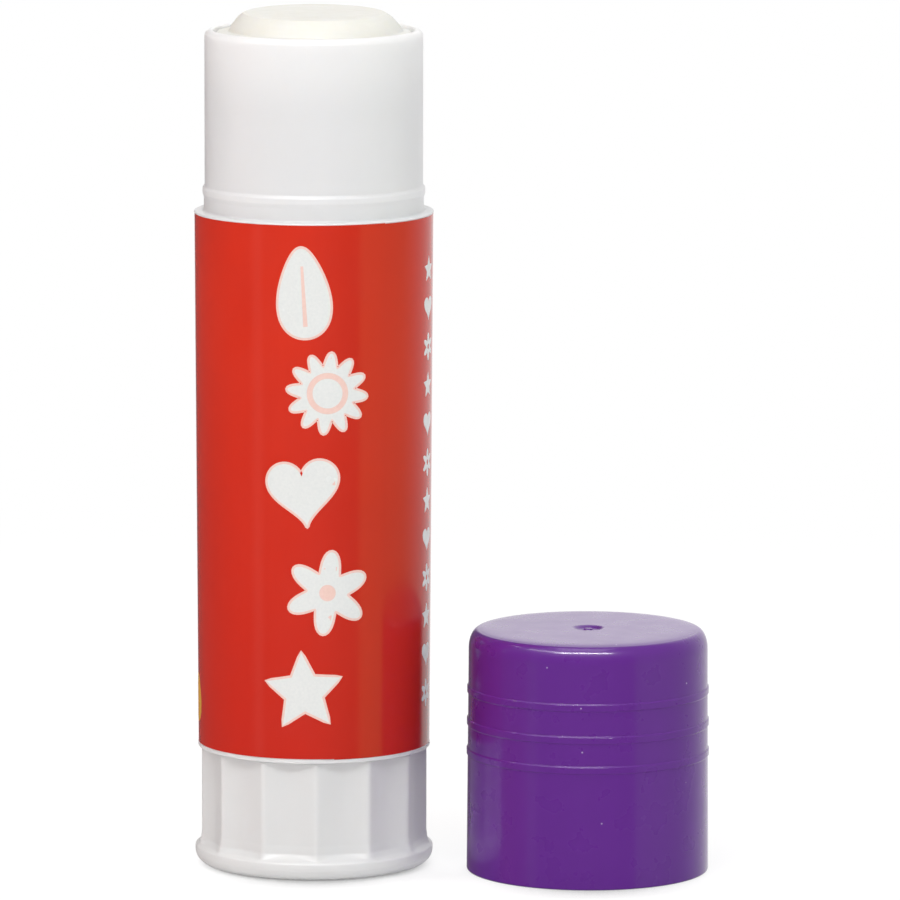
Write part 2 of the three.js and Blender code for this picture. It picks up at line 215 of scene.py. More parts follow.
def turnedMesh(name, corners, closed=False, shape=None, steps=None, place=(0, 0)):
    # turns a profile that runs up the outside
    # shape bends a point given as (radius, height, angle from -Y towards +X)
    steps = steps or turning["steps"]
    bm = bmesh.new()
    rings = []
    for radius, height in profileOf(corners, closed):
        if radius < 1e-6:
            top = shape(radius, height, 0)[1] if shape else height
            rings.append([bm.verts.new((place[0] * mm, place[1] * mm, top * mm))])
            continue
        ring = []
        for i in range(steps):
            angle = 2 * math.pi * i / steps
            r, z = shape(radius, height, angle) if shape else (radius, height)
            x, y = place[0] + r * math.sin(angle), place[1] - r * math.cos(angle)
            ring.append(bm.verts.new((x * mm, y * mm, z * mm)))
        rings.append(ring)
    for low, high in zip(rings, rings[1:] + rings[:1] if closed else rings[1:]):
        for i in range(steps):
            j = (i + 1) % steps
            if len(low) == 1:
                bm.faces.new((low[0], high[j], high[i]))
            elif len(high) == 1:
                bm.faces.new((low[i], low[j], high[0]))
            else:
                bm.faces.new((low[i], low[j], high[j], high[i]))
    return meshObject(name, bm)


def added(name, data):
    made = bpy.data.objects.new(name, data)
    bpy.context.scene.collection.objects.link(made)
    return made


def meshObject(name, bm):
    mesh = bpy.data.meshes.new(name)
    bm.to_mesh(mesh)
    bm.free()
    return added(name, mesh)


def dressed(piece, material, body, replaced=(), crease=None):
    # smooth shading and finish for a finished piece, and its place in the frame
    piece.data.materials.clear()
    piece.data.materials.append(material)
    piece.data.shade_smooth()
    if crease:
        piece.data.set_sharp_from_angle(angle=math.radians(crease))
    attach(piece, body)
    if replaced:
        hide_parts(*replaced)
    print("made", piece.name, len(piece.data.polygons), "faces")


# Finishes

def shader(name):
    material = bpy.data.materials.new(name)
    material.use_nodes = True
    tree = material.node_tree
    surface = tree.nodes["Principled BSDF"]
    place = tree.nodes.new("ShaderNodeTexCoord").outputs["Object"]
    return material, tree, surface, place


def noise(tree, place, size, detail, stretch=(1, 1, 1)):
    # a noise whose features are about size millimetres wide, drawn out by stretch
    scaled = node(tree, "ShaderNodeMapping", {"Vector": place, "Scale": [1 / s for s in stretch]})
    return node(tree, "ShaderNodeTexNoise", {
        "Vector": scaled.outputs[0], "Scale": 1000 / size, "Detail": detail}).outputs["Fac"]


def spread(tree, value, low, high):
    # stretches the middle of a noise to a range
    return ranged(tree, value, (0.3, 0.7), low, high)


def blend(tree, share, first, second):
    return node(tree, "ShaderNodeMix", {0: share, 6: first, 7: second}, data_type="RGBA").outputs[2]


def bump(tree, height, depth, under=None):
    # depth in millimetres
    inputs = {"Height": height, "Distance": depth * mm}
    if under:
        inputs["Normal"] = under
    return node(tree, "ShaderNodeBump", inputs).outputs[0]


mould = {
    "flow": 9.0,        # width of the faint flow marks
    "flowStretch": (1, 1, 5),
    "flowDepth": 0.008,
    "grain": 0.16,      # width of the mould's satin grain
    "patches": 3.5,     # width of the patches that are a little duller
}

plastics = {
    "white polypropylene": {
        "colour": (0.81, 0.815, 0.812, 1), "shade": (0.785, 0.79, 0.79, 1),
        "roughness": (0.3, 0.42), "grainDepth": 0.003, "glow": 0.6, "reach": 3.0},
    # painted shade: a darker copy of the white for the base, for the dimmer light that it gets low by the
    # floor
    "white polypropylene shaded for the base": {
        "colour": (0.735, 0.745, 0.74, 1), "shade": (0.715, 0.725, 0.722, 1),
        "roughness": (0.3, 0.42), "grainDepth": 0.003, "glow": 0.4, "reach": 1.5},
    "unpolished polypropylene": {
        "colour": (0.70, 0.71, 0.715, 1), "shade": (0.66, 0.67, 0.68, 1),
        "roughness": (0.45, 0.6), "grainDepth": 0.006, "glow": 0.2, "reach": 1.2},
    "purple polypropylene": {
        "colour": (0.118, 0.019, 0.258, 1), "shade": (0.113, 0.0178, 0.247, 1),
        "roughness": (0.26, 0.31), "grainDepth": 0.0008, "glow": 0.04, "reach": 1.2},
}

# painted light: the tube's white turns paler up to the rim, for the light that comes through the thin wall
# there
rimPaintedLight = {"colour": (0.92, 0.92, 0.905, 1), "span": (96.0, 104.5)}
capGloss = {"share": 0.5, "roughness": 0.08}
capDust = {"cell": 2.2, "size": 0.13, "share": 0.3, "colour": (0.48, 0.40, 0.58, 1)}
filmDust = {"cell": 6.5, "size": 0.12, "share": 0.15, "colour": (0.3, 0.02, 0.02, 1)}


def mouldedPlastic(name):
    # injection-moulded: faint flow marks along the draw, a satin grain, and light that goes a little in
    look = SimpleNamespace(**plastics[name])
    material, tree, surface, place = shader(name)
    flow = noise(tree, place, mould["flow"], 3, mould["flowStretch"])
    wavy = bump(tree, flow, mould["flowDepth"])
    plug(tree, surface, {
        "Base Color": blend(tree, spread(tree, flow, 0, 1), look.colour, look.shade),
        "Roughness": spread(tree, noise(tree, place, mould["patches"], 4), *look.roughness),
        "Normal": bump(tree, noise(tree, place, mould["grain"], 1), look.grainDepth, wavy),
        "Subsurface Weight": look.glow,
        "Subsurface Radius": (1, 0.95, 0.9),
        "Subsurface Scale": look.reach * mm})
    return material, tree, surface, place


def recoloured(material, tree, surface, share, colour):
    base = surface.inputs["Base Color"].links[0].from_socket
    plug(tree, surface, {"Base Color": blend(tree, share, base, colour)})
    return material


def addDust(material, tree, surface, place, cell, size, share, colour):
    # single specks of a radius in millimetres: the cores of a few cells of a Voronoi pattern
    cells = node(tree, "ShaderNodeTexVoronoi", {"Vector": place, "Scale": 1000 / cell}).outputs
    near = ranged(tree, cells["Distance"], (size * 0.5 / cell, size / cell), 1, 0)
    pick = node(tree, "ShaderNodeSeparateColor", {"Color": cells["Color"]}).outputs[0]
    speck = times(tree, near, sums(tree, "LESS_THAN", pick, share))
    return recoloured(material, tree, surface, speck, colour)


def polished(material, tree, surface, place, share, roughness):
    # a sharp gloss over the plastic's own soft one
    plug(tree, surface, {
        "Specular IOR Level": 0.5 * (1 - share), "Coat Weight": share, "Coat Roughness": roughness})
    return material, tree, surface, place


def heightsOf(span):
    return [edge * mm for edge in span]


def paintedLightAbove(material, tree, surface, place, colour, span):
    # painted light: blends a paler colour in over a span of heights, where light comes through the wall as
    # it thins out to the rim
    share = ranged(tree, split(tree, place)["Z"], heightsOf(span), easing="SMOOTHSTEP")
    return recoloured(material, tree, surface, share, colour)


# the tube's white, with painted light towards the rim
whitePlastic = paintedLightAbove(*mouldedPlastic("white polypropylene"), **rimPaintedLight)
shadedBasePlastic = mouldedPlastic("white polypropylene shaded for the base")[0]
innerPlastic = mouldedPlastic("unpolished polypropylene")[0]
purplePlastic = addDust(*polished(*mouldedPlastic("purple polypropylene"), **capGloss), **capDust)

filmLook = {
    "red": (0.67, 0.031, 0.011, 1),
    "redShade": (0.62, 0.027, 0.010, 1),
    "drift": 14,        # width of the drift between the two
    "redLow": (0.55, 0.021, 0.010, 1),   # the red is a little darker towards the foot
    "lowSpan": (70, 15),
    "redSide": (0.45, 0.020, 0.009, 1),  # painted shade: the red is darker on the +X side, which gets less light
    "sideSpan": (-3, 4.5),
    # share of the painted shade at its darkest
    "sideShare": 0.36,
    "streaks": 1.1,     # width of the fine rolled streaks
    "streakStretch": (1, 1, 40),
    "streakShare": 0.12,
    "patches": 5,
    "roughness": (0.12, 0.17),
    "orangePeel": 2.2,
    "peelDepth": 0.0025,
}


def printedFilm(name):
    # glossy printed film: a slight drift in the ink, fine streaks, a shallow orange peel in its gloss, and
    # painted shade on its +X side
    look = SimpleNamespace(**filmLook)
    material, tree, surface, place = shader(name)
    x, _, height = split(tree, place)
    drift = noise(tree, place, look.drift, 2)
    ink = blend(tree, spread(tree, drift, 0, 1), look.red, look.redShade)
    low = ranged(tree, height, heightsOf(look.lowSpan))
    ink = blend(tree, low, ink, look.redLow)
    # painted shade: the red darkens towards +X
    side = ranged(tree, x, heightsOf(look.sideSpan), 0, look.sideShare, "SMOOTHSTEP")
    ink = blend(tree, side, ink, look.redSide)
    streaks = noise(tree, place, look.streaks, 2, look.streakStretch)
    fine = times(tree, spread(tree, streaks, 0, 1), look.streakShare)
    plug(tree, surface, {
        "Base Color": blend(tree, fine, ink, look.redLow),
        "Roughness": spread(tree, noise(tree, place, look.patches, 3), *look.roughness),
        "Normal": bump(tree, noise(tree, place, look.orangePeel, 2), look.peelDepth)})
    return material, tree, surface, place


inkLook = {
    "speckle": 0.35,    # width of the fine unevenness of a printed field
    "patches": 5,
    "roughness": (0.2, 0.28),
}

inks = {
    "white ink": ((0.78, 0.80, 0.78, 1), (0.74, 0.765, 0.75, 1)),
    "pale rim ink": ((0.86, 0.62, 0.55, 1), (0.83, 0.58, 0.51, 1)),
    "amber ink": ((0.80, 0.42, 0.03, 1), (0.77, 0.39, 0.03, 1)),
}


def printInk(name, colour, shade):
    # ink on the film, a touch duller than the film
    material, tree, surface, place = shader(name)
    speckle = noise(tree, place, inkLook["speckle"], 2)
    plug(tree, surface, {
        "Base Color": blend(tree, spread(tree, speckle, 0, 1), colour, shade),
        "Roughness": spread(tree, noise(tree, place, inkLook["patches"], 3), *inkLook["roughness"])})
    return material


redFilm = addDust(*printedFilm("red printed film"), **filmDust)
whiteInk, paleInk, amberInk = [printInk(name, *colours) for name, colours in inks.items()]

glueLook = {
    "body": (0.80, 0.80, 0.75, 1),
    "shade": (0.775, 0.77, 0.71, 1),
    "swirl": 4.0,
    "swirlDepth": 0.12,
    "pits": 0.5,
    "pitDepth": 0.015,
    "patches": 1.5,
    "roughness": (0.4, 0.6),
    "glow": 0.5,
    "reach": 2.5,       # how far the light spreads inside
}


def castGlue(name):
    # waxy cast glue: soft clouding, a faint skin of small pits, and light that spreads inside
    look = SimpleNamespace(**glueLook)
    material, tree, surface, place = shader(name)
    cloud = noise(tree, place, look.swirl, 4)
    skin = bump(tree, noise(tree, place, look.pits, 3), look.pitDepth)
    plug(tree, surface, {
        "Base Color": blend(tree, spread(tree, cloud, 0, 1), look.body, look.shade),
        "Roughness": spread(tree, noise(tree, place, look.patches, 3), *look.roughness),
        "Normal": bump(tree, cloud, look.swirlDepth, skin),
        "Subsurface Weight": look.glow,
        "Subsurface Radius": (1, 0.9, 0.7),
        "Subsurface Scale": look.reach * mm})
    return material


glueWhite = castGlue("cast glue")
print("finishes made")


# Barrel

barrel = {
    "rim": 106.12,
    "shoulder": 83.3,
    "foot": 15.1,
    "shoulderRadius": 15.1,
    "footRadius": 14.7,
    "neckRadius": 13.75,
    "lowerNeckRadius": 13.85,
    "boreRadius": 12.65,
    "bead": 85.85,
    "beadDown": 0.8,
    "beadUp": 0.72,
    "beadProud": 0.27,
    "floor": 16.8,
    "floorHole": 5.6,
    "tailRadius": 12.0,
    "tailInside": 10.9,
    "tailBottom": 11.1,
    "filmTop": 83.1,
    "filmBottom": 15.55,
    "filmDepth": 0.13,
    "ribs": 4,
    "ribTop": 99.9,
    "ribWidth": 1.2,
    "ribHeight": 0.5,
    "ribFlank": 0.3,
}


def barrelRadius(height):
    share = (height - barrel["foot"]) / (barrel["shoulder"] - barrel["foot"])
    return barrel["footRadius"] + share * (barrel["shoulderRadius"] - barrel["footRadius"])


def ribbedBore(radius, height, angle):
    # the bore's four guide ribs, which stop short of the rim
    onBore = abs(radius - barrel["boreRadius"]) < 0.01 and barrel["floor"] < height < barrel["ribTop"]
    if not onBore:
        return radius, height
    step = 2 * math.pi / barrel["ribs"]
    across = abs((angle % step) - step / 2) * radius
    rise = min(1, max(0, ((barrel["ribWidth"] + barrel["ribFlank"]) / 2 - across) / barrel["ribFlank"]))
    return radius - barrel["ribHeight"] * rise, height


def barrelCorners():
    b = SimpleNamespace(**barrel)
    low, high = barrelRadius(b.filmBottom), barrelRadius(b.filmTop)
    crest = b.neckRadius + b.beadProud
    return [
        (b.floorHole, b.foot, 0.2),
        (b.tailInside, b.foot, 0.3),
        (b.tailInside, b.tailBottom, 0.2),
        (b.tailRadius, b.tailBottom, 0.3),
        (b.tailRadius, b.foot, 0.3),
        (b.footRadius, b.foot, 0.12),
        (low, b.filmBottom, 0.04),
        (low - b.filmDepth, b.filmBottom + 0.04, 0.03),
        (high - b.filmDepth, b.filmTop - 0.04, 0.03),
        (high, b.filmTop, 0.04),
        (b.shoulderRadius, b.shoulder, 0.22),
        (b.lowerNeckRadius, b.shoulder, 0.3),
        (b.lowerNeckRadius, b.bead - b.beadDown, 0.4),
        (crest, b.bead - 0.3, 0.35),
        (crest, b.bead + 0.4, 0.35),
        (b.neckRadius, b.bead + b.beadUp, 0.3),
        (b.neckRadius, b.rim, 0.9),
        (b.boreRadius, b.rim, 0.25),
        (b.boreRadius, b.floor, 0.3),
        (b.floorHole, b.floor, 0.2),
    ]


tube = turnedMesh("tube", barrelCorners(), closed=True, shape=ribbedBore)
dressed(tube, whitePlastic, "barrel", ["barrel"])


# Label film: one sheet wrapped round the waist, whose outer end lies over its start

film = {
    "bottom": 15.63,
    "top": 83.02,
    "thickness": 0.07,
    "sunk": 0.05,       # its face below the barrel's own
    "freeEdge": 35.2,   # where the outer end stops, from -Y towards +X
    "overlap": 26.0,
    "climb": 9.0,       # over which the outer end rises onto the start
    "skew": 0.10,       # how much higher the outer end lies than the start
    "lapGap": 0.006,    # between the two layers
    "edgeDegrees": 0.15,
    "stepDegrees": 1.0,
    "rows": 34,
}


def filmPoint(turn, height, outside):
    # turn runs from 0 at the sheet's start to the whole wrap at its free edge, in degrees
    wrap = 360 + film["overlap"]
    rise = min(1, max(0, (turn - (wrap - film["overlap"] - film["climb"])) / film["climb"]))
    rise = rise * rise * (3 - 2 * rise) * (film["thickness"] + film["lapGap"])
    radius = barrelRadius(height) - film["sunk"] + rise - (0 if outside else film["thickness"])
    angle = math.radians(film["freeEdge"] - film["overlap"] + turn)
    lift = film["skew"] * (turn / wrap - 0.5)
    return Vector((radius * math.sin(angle), -radius * math.cos(angle), height + lift)) * mm


def makeFilm():
    wrap = 360 + film["overlap"]
    count = round(wrap / film["stepDegrees"])
    inset = film["edgeDegrees"]
    turns = [0, inset] + [wrap * i / count for i in range(1, count)] + [wrap - inset, wrap]
    span = film["top"] - film["bottom"]
    heights = [film["bottom"] + span * j / film["rows"] for j in range(film["rows"] + 1)]
    heights[1:1] = [film["bottom"] + turning["edge"]]
    heights[-1:-1] = [film["top"] - turning["edge"]]
    bm = bmesh.new()
    sheets = [
        [[bm.verts.new(filmPoint(turn, height, outside)) for height in heights] for turn in turns]
        for outside in (True, False)
    ]
    outer, inner = sheets
    lastTurn, lastRow = len(turns) - 1, len(heights) - 1
    for i in range(lastTurn):
        for j in range(lastRow):
            bm.faces.new((outer[i][j], outer[i + 1][j], outer[i + 1][j + 1], outer[i][j + 1]))
            bm.faces.new((inner[i][j], inner[i][j + 1], inner[i + 1][j + 1], inner[i + 1][j]))
        bm.faces.new((inner[i][0], inner[i + 1][0], outer[i + 1][0], outer[i][0]))
        bm.faces.new((outer[i][lastRow], outer[i + 1][lastRow], inner[i + 1][lastRow], inner[i][lastRow]))
    first, last = (outer[0], inner[0]), (outer[lastTurn], inner[lastTurn])
    for j in range(lastRow):
        bm.faces.new((first[1][j], first[0][j], first[0][j + 1], first[1][j + 1]))
        bm.faces.new((last[0][j], last[1][j], last[1][j + 1], last[0][j + 1]))
    return meshObject("label_film", bm)


labelFilm = makeFilm()
labelFilm.data.materials.append(redFilm)


# Print on the label: plain craft motifs in a swaying column, wrapped onto the film

motifs = {
    "size": 5.2,        # radius of a large motif
    "small": 1.15,
    "rimWidth": 0.3,    # pale rim round the white
    "grid": 0.8,        # spacing of the points that let a motif bend
    "apart": 0.3,       # least distance of such a point from the outline
    "face": 0.02,       # height of the white over the film
    "rimFace": 0.012,
    "root": -0.03,
    "bend": 14.9,       # radius that a motif's width is laid round
    "castFrom": 18,     # radius from which its points are cast inwards onto the film
    "castReach": 10,
}


def loopOf(radiusAt, points, turn=0):
    # an outline in polar form: radiusAt takes the share of the way round
    return [
        Vector((radiusAt(i / points) * math.cos(turn + 2 * math.pi * i / points),
                radiusAt(i / points) * math.sin(turn + 2 * math.pi * i / points)))
        for i in range(points)
    ]


def flowerLoops(size):
    petals = loopOf(lambda s: size * (0.74 + 0.26 * math.cos(2 * math.pi * 6 * s)), 120, math.pi / 2)
    return [petals, loopOf(lambda s: size * 0.2, 32)]


def starLoops(size):
    def reach(s):
        within = (5 * s) % 1
        fromTip = min(within, 1 - within) * 2
        inner, outer = 0.46, 1.0
        angle = fromTip * math.pi / 5
        straight = outer * inner * math.sin(math.pi / 5) / (
            inner * math.sin(math.pi / 5 - angle) + outer * math.sin(angle))
        return size * (straight * 0.94 + 0.03)
    return [loopOf(reach, 100, math.pi / 2)]


def heartLoops(size):
    points = []
    for i in range(90):
        t = 2 * math.pi * i / 90
        x = 16 * math.sin(t) ** 3
        y = 13 * math.cos(t) - 5 * math.cos(2 * t) - 2 * math.cos(3 * t) - math.cos(4 * t)
        points.append(Vector((-x, y + 2)) * size / 17)
    return [points]


def sunLoops(size):
    rays = loopOf(lambda s: size * (0.80 + 0.17 * math.cos(2 * math.pi * 12 * s)), 192, math.pi / 2)
    return [rays, loopOf(lambda s: size * 0.5, 48), loopOf(lambda s: size * 0.36, 40)]


def leafLoops(size):
    points = []
    for i in range(80):
        t = 2 * math.pi * i / 80
        along, across = math.cos(t), math.sin(t)
        points.append(Vector((-across * (1 - 0.35 * along) * 0.55, along)) * size)
    vein = [Vector((x, y)) * size for x, y in ((-0.05, -0.75), (0.05, -0.75), (0.03, 0.6), (-0.03, 0.6))]
    return [points, vein]


def grownLoop(loop, distance):
    # the outline moved outwards along its own normals
    grownPoints = []
    for i, point in enumerate(loop):
        along = loop[(i + 1) % len(loop)] - loop[i - 1]
        grownPoints.append(point + Vector((along.y, -along.x)).normalized() * distance)
    return grownPoints


def insideLoops(point, loops):
    crossings = 0
    for loop in loops:
        for a, b in zip(loop, loop[1:] + loop[:1]):
            if (a.y > point.y) != (b.y > point.y):
                if point.x < a.x + (point.y - a.y) * (b.x - a.x) / (b.y - a.y):
                    crossings += 1
    return crossings % 2 == 1


def cutOut(name, loops, face):
    # a thin closed plate of the outline, with points inside it so that it can bend
    points, edges = [], []
    for loop in loops:
        first = len(points)
        points += loop
        edges += [(first + i, first + (i + 1) % len(loop)) for i in range(len(loop))]
    outline = list(points)
    reach = max(max(abs(p.x), abs(p.y)) for p in points)
    cells = math.ceil(reach / motifs["grid"])
    for i in range(-cells, cells + 1):
        for j in range(-cells, cells + 1):
            # a little off the grid, so that no point lies on a straight edge of the outline
            spot = Vector((i + 0.013, j + 0.017)) * motifs["grid"]
            if insideLoops(spot, loops) and min((spot - p).length for p in outline) > motifs["apart"]:
                points.append(spot)
    flat, _, faces, *_ = delaunay_2d_cdt(points, edges, [], 0, 1e-5)
    bm = bmesh.new()
    top = [bm.verts.new((p.x * mm, p.y * mm, face * mm)) for p in flat]
    bottom = [bm.verts.new((p.x * mm, p.y * mm, motifs["root"] * mm)) for p in flat]
    for corners in faces:
        centre = sum((flat[i] for i in corners), Vector((0, 0))) / len(corners)
        if insideLoops(centre, loops):
            bm.faces.new([top[i] for i in corners])
            bm.faces.new([bottom[i] for i in reversed(corners)])
    for edge in [e for e in bm.edges if e.is_boundary and e.verts[0].co.z > 0]:
        i, j = top.index(edge.verts[0]), top.index(edge.verts[1])
        bm.faces.new((top[i], top[j], bottom[j], bottom[i]))
    bmesh.ops.delete(bm, geom=[v for v in bm.verts if not v.link_faces], context="VERTS")
    bmesh.ops.recalc_face_normals(bm, faces=bm.faces)
    return meshObject(name, bm)


def motifSet(name, shapes, grow, face):
    # a collection of the shapes, in order of their names
    collection = bpy.data.collections.new(name)
    bpy.context.scene.collection.children.link(collection)
    for i, (maker, size) in enumerate(shapes):
        loops = maker(size)
        if grow:
            loops = [grownLoop(loops[0], grow)]
        plate = cutOut(f"{name}{i}", loops, face)
        bpy.context.scene.collection.objects.unlink(plate)
        collection.objects.link(plate)
    return collection


def columnTree():
    # motifs on a line up the film, swaying from side to side, bent round it by casting each point onto it
    tree, given, out = shapeTree(
        "motif column", ("Start", "Pitch", "Sway", "Turn", "Radius", "Tilt"),
        Motifs="Collection", Film="Object", Ink="Material", Count="Int", Kinds="Int", Seed="Int")
    ask = given.outputs
    line = node(tree, "GeometryNodeMeshLine", {
        "Count": ask["Count"], "Start Location": combined(tree, Y=ask["Start"]),
        "Offset": combined(tree, Y=ask["Pitch"])})
    index = node(tree, "GeometryNodeInputIndex").outputs[0]
    side = less(tree, times(tree, sums(tree, "MODULO", index, 2.0), 2.0), 1.0)
    swayed = node(tree, "GeometryNodeSetPosition", {
        "Geometry": line.outputs[0], "Offset": combined(tree, X=times(tree, side, ask["Sway"]))})
    plates = node(tree, "GeometryNodeCollectionInfo", {
        "Collection": ask["Motifs"], "Separate Children": True, "Reset Children": True})
    tilt = node(tree, "FunctionNodeRandomValue", {
        "Min": times(tree, ask["Tilt"], -1.0), "Max": ask["Tilt"], "Seed": ask["Seed"]}, data_type="FLOAT")
    tiltOut = next(o for o in tilt.outputs if o.enabled)
    placed = node(tree, "GeometryNodeInstanceOnPoints", {
        "Points": swayed.outputs[0], "Instance": plates.outputs[0], "Pick Instance": True,
        "Instance Index": sums(tree, "MODULO", index, ask["Kinds"]), "Rotation": combined(tree, Z=tiltOut)})
    flat = node(tree, "GeometryNodeRealizeInstances", {"Geometry": placed.outputs[0]})
    x, y, z = split(tree, node(tree, "GeometryNodeInputPosition").outputs[0])
    angle = sums(tree, "ADD", sums(tree, "DIVIDE", x, ask["Radius"]), ask["Turn"])
    ahead = times(tree, sums(tree, "COSINE", angle), -1.0)
    outward = combined(tree, X=sums(tree, "SINE", angle), Y=ahead)
    aside = vectors(tree, "SCALE", {0: outward, "Scale": motifs["castFrom"] * mm})
    target = node(tree, "GeometryNodeObjectInfo", {"Object": ask["Film"]})
    hit = node(tree, "GeometryNodeRaycast", {
        "Target Geometry": target.outputs["Geometry"],
        "Source Position": vectors(tree, "ADD", {0: aside, 1: combined(tree, Z=y)}),
        "Ray Direction": vectors(tree, "SCALE", {0: outward, "Scale": -1.0}),
        "Ray Length": motifs["castReach"] * mm})
    lifted = vectors(tree, "SCALE", {0: outward, "Scale": z})
    onFilm = vectors(tree, "ADD", {0: hit.outputs["Hit Position"], 1: lifted})
    bent = node(tree, "GeometryNodeSetPosition", {"Geometry": flat.outputs[0], "Position": onFilm})
    return closeTree(tree, out, bent.outputs[0], ask["Ink"])


largeColumn = {"count": 5, "start": 24.2, "pitch": 12.6, "sway": 1.5, "tilt": 9}
edgeColumn = {"pitch": 4.9, "sway": 0.0, "tilt": 0, "seed": 2}

columns = {
    "front": {
        "shapes": [(starLoops, 1), (flowerLoops, 1), (heartLoops, 0.92), (sunLoops, 1), (leafLoops, 1.08)],
        "turn": 0, "seed": 4, **largeColumn},
    "back": {
        "shapes": [(sunLoops, 1), (leafLoops, 1.08), (starLoops, 1), (heartLoops, 0.92), (flowerLoops, 1)],
        "turn": 180, "seed": 11, **largeColumn},
    "rightEdge": {
        "shapes": [(flowerLoops, 0.34), (heartLoops, 0.33), (starLoops, 0.34)],
        "count": 12, "start": 22.4, "turn": 73, **edgeColumn},
    "leftEdge": {
        "shapes": [(heartLoops, 0.33), (flowerLoops, 0.34), (starLoops, 0.34)],
        "count": 9, "start": 37.1, "turn": 262, **edgeColumn},
    "leftLow": {
        "shapes": [(leafLoops, 0.6)],
        "count": 1, "start": 21.5, "pitch": 1.0, "sway": 0.0, "turn": 276, "tilt": 0, "seed": 3},
}


def motifColumn(tree, name, ink, grow, face):
    column = columns[name]
    shapes = [(maker, motifs["size"] * share) for maker, share in column["shapes"]]
    plates = motifSet(name, shapes, grow, face)
    blank = meshObject(f"{name}_blank", bmesh.new())
    grown(blank, tree, {
        "Motifs": plates, "Film": labelFilm, "Ink": ink, "Count": column["count"], "Kinds": len(shapes),
        "Start": column["start"] * mm, "Pitch": column["pitch"] * mm, "Sway": column["sway"] * mm,
        "Turn": math.radians(column["turn"]), "Radius": motifs["bend"] * mm,
        "Tilt": math.radians(column["tilt"]), "Seed": column["seed"]})
    for plate in list(plates.objects):
        bpy.data.objects.remove(plate)
    bpy.data.collections.remove(plates)
    return blank


def joinedPieces(name, pieces):
    # one mesh of the same ink
    bm = bmesh.new()
    for piece in pieces:
        bm.from_mesh(piece.data)
        bpy.data.objects.remove(piece)
    return meshObject(name, bm)


prints = {
    "print_white": (("front", "back", "rightEdge", "leftEdge"), whiteInk, 0, motifs["face"]),
    "print_rim": (("front", "back"), paleInk, motifs["rimWidth"], motifs["rimFace"]),
    "print_amber": (("leftLow",), amberInk, 0, motifs["face"]),
}

motifTree = columnTree()
printed = [
    (joinedPieces(name, [motifColumn(motifTree, place, ink, grow, face) for place in places]), ink)
    for name, (places, ink, grow, face) in prints.items()
]
dressed(labelFilm, redFilm, "barrel", ["label"], crease=40)
for piece, ink in printed:
    dressed(piece, ink, "barrel", crease=40)


# Knob

knob = {
    "top": 15.02,
    "ridgeRadius": 14.35,
    "flangeRadius": 15.08,
    "flangeTop": 2.3,
    "footRound": 1.9,
    "flutes": 13,
    "depth": 0.86,
    "ridgeTurn": 0.3,
    "ridgeRound": 0.05,  # share of half a flute over which a ridge is rounded
    "flare": ((0.4, 0.32, 0.4), (0.13, 1.05, 0.9), (0, 2.1, 1.5)),  # out, up and rounding
    "runout": 1.1,
    "wallInside": 12.3,
    "pullFrom": 12.9,    # what lies farther in isn't fluted
    "floor": 1.8,
    "pad": 5.0,
    "ringInside": 12.2,
    "recess": 0.5,
    "hubRadius": 5.3,
    "hubBore": 3.9,
    "hubTop": 18.1,
    "hubCatch": 17.1,
    "hubLip": 0.65,
    "stepsPerFlute": 24,
}


def knobCorners():
    k = SimpleNamespace(**knob)
    flare = [(k.ridgeRadius + out, k.flangeTop + up, rounding) for out, up, rounding in k.flare]
    return [
        (0, 0),
        (k.pad, 0, 0.2),
        (k.pad + k.recess, k.recess, 0.2),
        (k.ringInside - k.recess, k.recess, 0.2),
        (k.ringInside, 0, 0.25),
        (k.flangeRadius, 0, k.footRound),
        (k.flangeRadius, k.flangeTop, 0.5),
        *flare,
        (k.ridgeRadius, k.top, 0.22),
        (k.wallInside, k.top, 0.2),
        (k.wallInside, k.floor, 0.4),
        (k.hubRadius, k.floor, 0.3),
        (k.hubRadius, k.hubCatch, 0.1),
        (k.hubRadius + k.hubLip, k.hubCatch, 0.15),
        (k.hubRadius, k.hubTop, 0.2),
        (k.hubBore, k.hubTop, 0.15),
        (k.hubBore, k.floor, 0.2),
        (0, k.floor),
    ]


def fluteTree():
    # pulls the outside in between the ridges, by a parabola across each flute that runs out over the flange
    tree, given, out = shapeTree(
        "flutes", ("Depth", "Turn", "Ridge", "From", "Runout", "Outside"), Count="Int", Plastic="Material")
    ask = given.outputs
    x, y, z = split(tree, node(tree, "GeometryNodeInputPosition").outputs[0])
    angle = sums(tree, "ARCTAN2", x, times(tree, y, -1.0))
    turned = less(tree, angle, ask["Turn"])
    flutes = sums(tree, "DIVIDE", times(tree, turned, ask["Count"]), 2 * math.pi)
    swing = times(tree, sums(tree, "FRACT", flutes), 2.0)
    across = sums(tree, "ABSOLUTE", less(tree, swing, 1.0))
    fromRidge = less(tree, 1.0, across)
    # the ridge itself is rounded off: a hyperbola takes the place of the corner
    squared = sums(tree, "ADD", sums(tree, "POWER", fromRidge, 2.0), sums(tree, "POWER", ask["Ridge"], 2.0))
    eased = less(tree, sums(tree, "SQRT", squared), ask["Ridge"])
    hollow = times(tree, eased, less(tree, 2.0, eased))
    # steep at the flange's crest and gentle where it reaches the full depth
    left = ranged(tree, z, (ask["From"], sums(tree, "ADD", ask["From"], ask["Runout"])), 1, 0)
    runout = less(tree, 1.0, sums(tree, "POWER", left, 2.0))
    radius = sums(tree, "SQRT", sums(tree, "ADD", sums(tree, "POWER", x, 2.0), sums(tree, "POWER", y, 2.0)))
    pull = times(tree, times(tree, hollow, runout), ask["Depth"])
    scale = less(tree, 1.0, sums(tree, "DIVIDE", pull, radius))
    pulled = node(tree, "GeometryNodeSetPosition", {
        "Geometry": ask["Geometry"], "Selection": sums(tree, "GREATER_THAN", radius, ask["Outside"]),
        "Position": combined(tree, X=times(tree, x, scale), Y=times(tree, y, scale), Z=z)})
    return closeTree(tree, out, pulled.outputs[0], ask["Plastic"])


